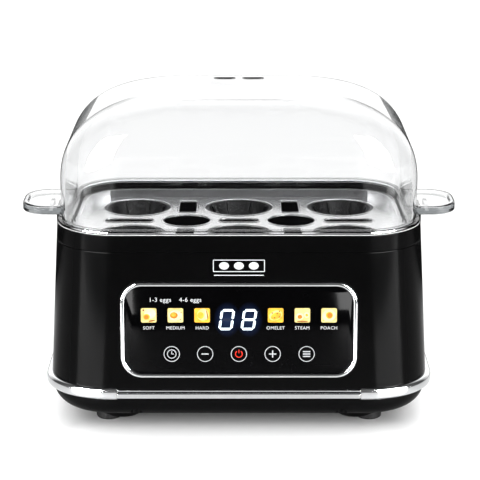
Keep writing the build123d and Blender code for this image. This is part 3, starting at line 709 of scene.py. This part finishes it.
# ------------------------------------------------------------------ egg cups
# A ribbed black cup hangs under each egg hole and holds the egg on end. The
# open foot lets steam and drips through.

cup_black = set_on(mottled("cup_black", (0.004, 0.004, 0.0044), 0.28, grain=1600, bump=0.05),
                   Specular_IOR_Level=0.15)
for number in range(1, 7):
    dress(cup_black, f"egg_cup_{number}")


# ----------------------------------------------------------------------- lid
# The lid is one clear moulding, polished inside and out. A bead sits on the
# collar, a skirt drops inside it, and the side tabs are dished for the fingers.

lid_inset = 0.0022
lid_wall = 0.0022
lid_rise = 0.045
lid_straight = 0.022
lid_shoulder = 0.030
lid_arch = (0.056, 0.027)
arch_power = 2.25
lid_top_corner = 0.024
lid_top = rim_z + lid_straight + lid_rise
bead_top = 0.110
skirt_inset = 0.0051
skirt_wall = 0.0012
skirt_z = rim_z - 0.0022
bead_inset = 0.0004
frost_top = rim_z + 0.0004
tab_reach = 0.119
tab_half = 0.020
tab_corner = 0.014
tongue_size = (0.002, 0.012, 0.004)
tongue_place = (0.1034, 0.107)
vent_half = (0.00625, 0.0025, 0.0024)
vent_place = (0.008, 0.028)


def arch(rise, reach, height):
    """How far an arch has come in at a given rise."""
    part = min(max(rise / height, 0.0), 1.0)
    return reach * (1 - (1 - part ** arch_power) ** (1 / arch_power))


def lid_outline(z, inset):
    """The dome's outline at a height, drawn in by the inset."""
    in_x = arch(z - rim_z - lid_straight, lid_arch[0] - inset, lid_rise - inset)
    in_y = arch(z - lid_top + lid_shoulder, lid_arch[1] - inset, lid_shoulder - inset)
    edge = lid_inset + inset
    share = max(z - rim_z - lid_straight, 0) / lid_rise
    corner = rim_corner - edge - share ** 2 * (rim_corner - lid_inset - lid_top_corner)
    return rim_half[0] - edge - in_x, rim_half[1] - edge - in_y, corner, z


def dome(inset, foot, steps=30):
    """Outlines of the dome from its foot to its top."""
    rise = lid_rise - inset
    heights = [foot, rim_z + lid_straight / 2]
    heights += [rim_z + lid_straight + rise * math.sin(math.pi / 2 * n / steps) for n in range(steps + 1)]
    return [lid_outline(z, inset) for z in heights]


clear_plastic = bpy.data.materials.new("clear_plastic")
clear_plastic.use_nodes = True
tree = clear_plastic.node_tree
shader = tree.nodes["Principled BSDF"]
shader.inputs["Base Color"].default_value = (1.0, 1.0, 1.0, 1)
shader.inputs["Transmission Weight"].default_value = 1.0
shader.inputs["IOR"].default_value = 1.49
shader.inputs["Roughness"].default_value = 0.0
wave = tree.nodes.new("ShaderNodeTexNoise")
wave.inputs["Scale"].default_value = 14.0
place = tree.nodes.new("ShaderNodeTexCoord")
ripple = tree.nodes.new("ShaderNodeBump")
ripple.inputs["Strength"].default_value = 0.04
ripple.inputs["Distance"].default_value = 0.0006
tree.links.new(place.outputs["Object"], wave.inputs["Vector"])
tree.links.new(wave.outputs["Fac"], ripple.inputs["Height"])
tree.links.new(ripple.outputs["Normal"], shader.inputs["Normal"])
# A faint tint in the plastic shows only where it is looked at edge on.
tint = tree.nodes.new("ShaderNodeVolumeAbsorption")
tint.inputs["Color"].default_value = (0.50, 0.52, 0.53, 1)
tint.inputs["Density"].default_value = 70.0
tree.links.new(tint.outputs["Volume"], tree.nodes["Material Output"].inputs["Volume"])
lets_light = tree.nodes.new("ShaderNodeBsdfTransparent")
lets_light.inputs["Color"].default_value = (0.95, 0.955, 0.955, 1)
rays = tree.nodes.new("ShaderNodeLightPath")
mix = tree.nodes.new("ShaderNodeMixShader")
tree.links.new(rays.outputs["Is Shadow Ray"], mix.inputs["Fac"])
tree.links.new(shader.outputs["BSDF"], mix.inputs[1])
tree.links.new(lets_light.outputs["BSDF"], mix.inputs[2])
tree.links.new(mix.outputs["Shader"], tree.nodes["Material Output"].inputs["Surface"])

lid = make_piece("clear_lid", draw_up(dome(0.0, rim_z), start=True, end=True, steps=20), clear_plastic)
tab_long = 0.0383
plate_half = tab_long / 2
tab_low = rim_z + fit_gap
dish = 0.003
for side in (-1, 1):
    tab = draw_up([
        (plate_half - inset, tab_half - inset, tab_corner - inset, tab_low + up)
        for inset, up in ((0.0006, 0), (0, 0.0006), (0, 0.0042), (0.0008, 0.005), (dish - 0.0006, 0.005),
                          (dish, 0.0034))], start=True, end=True, steps=12)
    carve(lid, moved(tab, Matrix.Translation((side * (tab_reach - plate_half), 0, 0))), "UNION")
carve(lid, draw_up(dome(lid_wall, rim_z - 0.002), start=True, end=True, steps=20))
ring = draw_up([
    rim_outline(skirt_z, skirt_inset), rim_outline(rim_z, skirt_inset), rim_outline(rim_z, bead_inset),
    rim_outline(frost_top, bead_inset), rim_outline(bead_top - 0.0006, bead_inset),
    rim_outline(bead_top - 0.0002, 0.0006), rim_outline(bead_top, 0.001),
    rim_outline(bead_top, skirt_inset + skirt_wall), rim_outline(skirt_z, skirt_inset + skirt_wall)],
    closed=True, steps=20)
carve(lid, ring, "UNION")
for side in (-1, 1):
    tongue = bmesh.new()
    place = Matrix.Translation((side * tongue_place[0], 0, tongue_place[1]))
    bmesh.ops.create_cube(tongue, size=1.0, matrix=place @ Matrix.Diagonal((*tongue_size, 1)))
    carve(lid, tongue, "UNION")
    vent = draw_up([(*vent_half, -0.01), (*vent_half, 0.01)], start=True, end=True, steps=6)
    carve(lid, moved(vent, Matrix.Translation((side * vent_place[0], vent_place[1], lid_top))))
# The bead's lower edge is left frosted by the tool, so it catches the light.
bead_frost = set_on(mottled("bead_frost", (0.97, 0.97, 0.97), 0.35, grain=600, bump=0.05, tint=0.03),
                    Transmission_Weight=0.2, IOR=1.49, Specular_IOR_Level=0.2)
lid.data.materials.append(bead_frost)
for part in lid.data.polygons:
    x, y, z = part.center
    over = [max(abs(value) - half + rim_corner, 0) for value, half in zip((x, y), rim_half)]
    depth = rim_corner - math.hypot(*over) if any(over) else rim_corner
    clear_of_tab = abs(y) > tab_half or abs(x) < 0.09
    part.material_index = int(rim_z < z < frost_top and depth < 0.0006 and clear_of_tab)
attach(lid, "lid")
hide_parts("lid")


# ------------------------------------------------------------ floor and light
# A pale glossy tabletop, an even white surround, and tall soft boxes left and
# right that draw the highlights on the body's corners.

def fade(tree, source, start, end, low=0.0, high=1.0):
    """Go from low to high as the source goes from start to end."""
    node = tree.nodes.new("ShaderNodeMapRange")
    for name, value in (("From Min", start), ("From Max", end), ("To Min", low), ("To Max", high)):
        node.inputs[name].default_value = value
    tree.links.new(source, node.inputs["Value"])
    return node.outputs["Result"]


def combine(tree, operation, first, second):
    node = tree.nodes.new("ShaderNodeMath")
    node.operation = operation
    tree.links.new(first, node.inputs[0])
    tree.links.new(second, node.inputs[1])
    return node.outputs["Value"]


def switch(tree, share, first, second):
    """Mix two finishes by a share from 0 to 1."""
    node = tree.nodes.new("ShaderNodeMixShader")
    tree.links.new(share, node.inputs["Fac"])
    tree.links.new(first, node.inputs[1])
    tree.links.new(second, node.inputs[2])
    return node.outputs["Shader"]


body_spread = 0.035      # the body is this much wider than it is deep, each side
painted_contact_glow = ((0.050, 0.12), (0.058, 0.24), (0.066, 0.31), (0.078, 0.25), (0.094, 0.125), (0.113, 0.08),
                (0.15, 0.035))
front_edge = (-0.28, -0.40)

floor_bm = bmesh.new()
bmesh.ops.create_grid(floor_bm, x_segments=8, y_segments=8, size=6.0)
floor_white = mottled("floor_white", (0.90, 0.90, 0.90), 0.24, grain=3, spread=0.01, bump=0.0, tint=0.01)
set_on(floor_white, Specular_IOR_Level=0.3, Emission_Strength=1.0)
tree = floor_white.node_tree
spread = tree.nodes.new("ShaderNodeTexCoord")
sides = tree.nodes.new("ShaderNodeVectorMath")
sides.operation = "ABSOLUTE"
shift = tree.nodes.new("ShaderNodeVectorMath")
shift.operation = "SUBTRACT"
shift.inputs[1].default_value = (body_spread, 0, 0)
split = tree.nodes.new("ShaderNodeSeparateXYZ")
tree.links.new(spread.outputs["Object"], sides.inputs[0])
tree.links.new(sides.outputs["Vector"], shift.inputs[0])
tree.links.new(shift.outputs["Vector"], split.inputs["Vector"])
# Painted light: an emission band lightens the white floor softly round the body.
painted_glow_band = tree.nodes.new("ShaderNodeValToRGB")
painted_glow_band.color_ramp.elements[0].position = 0.035
painted_glow_band.color_ramp.elements[0].color = (0.02, 0.02, 0.02, 1)
painted_glow_band.color_ramp.elements[1].position = 0.6
painted_glow_band.color_ramp.elements[1].color = (0.05, 0.05, 0.05, 1)
for stop, glow in painted_contact_glow:
    painted_glow_band.color_ramp.elements.new(stop).color = (glow, glow, glow, 1)
tree.links.new(combine(tree, "MAXIMUM", split.outputs["X"], split.outputs["Y"]), painted_glow_band.inputs["Fac"])
tree.links.new(painted_glow_band.outputs["Color"], tree.nodes["Principled BSDF"].inputs["Emission Color"])
# The far front and rear of the room are dark where polished surfaces mirror them.
front = tree.nodes.new("ShaderNodeSeparateXYZ")
tree.links.new(spread.outputs["Object"], front.inputs["Vector"])
far = fade(tree, front.outputs["Y"], *front_edge, 0.25)
behind = fade(tree, front.outputs["Y"], 0.10, 0.22)
rays = tree.nodes.new("ShaderNodeLightPath")
night = tree.nodes.new("ShaderNodeEmission")
night.inputs["Strength"].default_value = 0.02
mirrored = combine(tree, "MULTIPLY", combine(tree, "MAXIMUM", far, behind), rays.outputs["Is Glossy Ray"])
seen = switch(tree, mirrored, tree.nodes["Principled BSDF"].outputs["BSDF"], night.outputs["Emission"])
# Through the lid the floor is even, and dark only in a patch that the lid's front would mirror.
aside = fade(tree, split.outputs["X"], 0.09, 0.16)
near = fade(tree, front.outputs["Y"], *reversed(front_edge))
even = tree.nodes.new("ShaderNodeEmission")
open_floor = combine(tree, "MAXIMUM", aside, near)
tree.links.new(fade(tree, open_floor, 0.0, 1.0, 0.03, 1.3), even.inputs["Strength"])
tree.links.new(switch(tree, rays.outputs["Is Transmission Ray"], seen, even.outputs["Emission"]),
               tree.nodes["Material Output"].inputs["Surface"])
floor = make_piece("floor", floor_bm, floor_white)


def reflector(name, azimuth, distance, width, low, high, strength):
    """Upright glowing panel that only polished surfaces see."""
    bm = bmesh.new()
    bmesh.ops.create_grid(bm, x_segments=1, y_segments=1, size=0.5)
    turn = Matrix.Rotation(math.radians(azimuth), 4, "Z")
    place = turn @ Matrix.Translation((0, -distance, (low + high) / 2)) @ Matrix.Rotation(math.pi / 2, 4, "X")
    moved(bm, place @ Matrix.Diagonal((width, high - low, 1, 1)))
    glow = bpy.data.materials.new(name)
    glow.use_nodes = True
    glow.node_tree.nodes.clear()
    shader = glow.node_tree.nodes.new("ShaderNodeEmission")
    shader.inputs["Strength"].default_value = strength
    out = glow.node_tree.nodes.new("ShaderNodeOutputMaterial")
    glow.node_tree.links.new(shader.outputs["Emission"], out.inputs["Surface"])
    panel = make_piece(name, bm, glow)
    panel.visible_camera = False
    panel.visible_diffuse = False
    panel.visible_transmission = False
    panel.visible_shadow = False
    return panel


for name, azimuth in (("soft_box_left", -44.0), ("soft_box_right", 47.0)):
    reflector(name, azimuth, 1.4, 1.25, -0.2, 1.6, 38.0)

world = bpy.data.worlds.new("surround")
bpy.context.scene.world = world
world.use_nodes = True
tree = world.node_tree
tree.nodes.clear()
rays = tree.nodes.new("ShaderNodeLightPath")
sky = tree.nodes.new("ShaderNodeBackground")
sky.inputs["Color"].default_value = (1, 1, 1, 1)
sky.inputs["Strength"].default_value = 1.4
around = tree.nodes.new("ShaderNodeTexCoord")
split = tree.nodes.new("ShaderNodeSeparateXYZ")
tree.links.new(around.outputs["Generated"], split.inputs["Vector"])
# Polished and clear surfaces see a dark room with one bright wall at the back.
seen = tree.nodes.new("ShaderNodeBackground")
tree.links.new(fade(tree, split.outputs["Y"], 0.45, 0.8, 0.06, 1.3), seen.inputs["Color"])
polished = combine(tree, "MAXIMUM", rays.outputs["Is Glossy Ray"], rays.outputs["Is Transmission Ray"])
out = tree.nodes.new("ShaderNodeOutputWorld")
tree.links.new(switch(tree, polished, sky.outputs["Background"], seen.outputs["Background"]),
               out.inputs["Surface"])


# --------------------------------------------------------------------- camera

lens_mm = 139.05
target = Vector((0, 0, 0.0885))
eye = Vector((0, -0.9983, 0.3616))
camera_data = bpy.data.cameras.new("camera")
camera_data.lens = lens_mm
camera_data.sensor_width = 36.0
camera_data.shift_x = 0.0023
camera = bpy.data.objects.new("camera", camera_data)
bpy.context.scene.collection.objects.link(camera)
camera.location = eye
camera.rotation_euler = (target - eye).to_track_quat("-Z", "Y").to_euler()
bpy.context.scene.camera = camera
bpy.context.scene.view_settings.view_transform = "Standard"
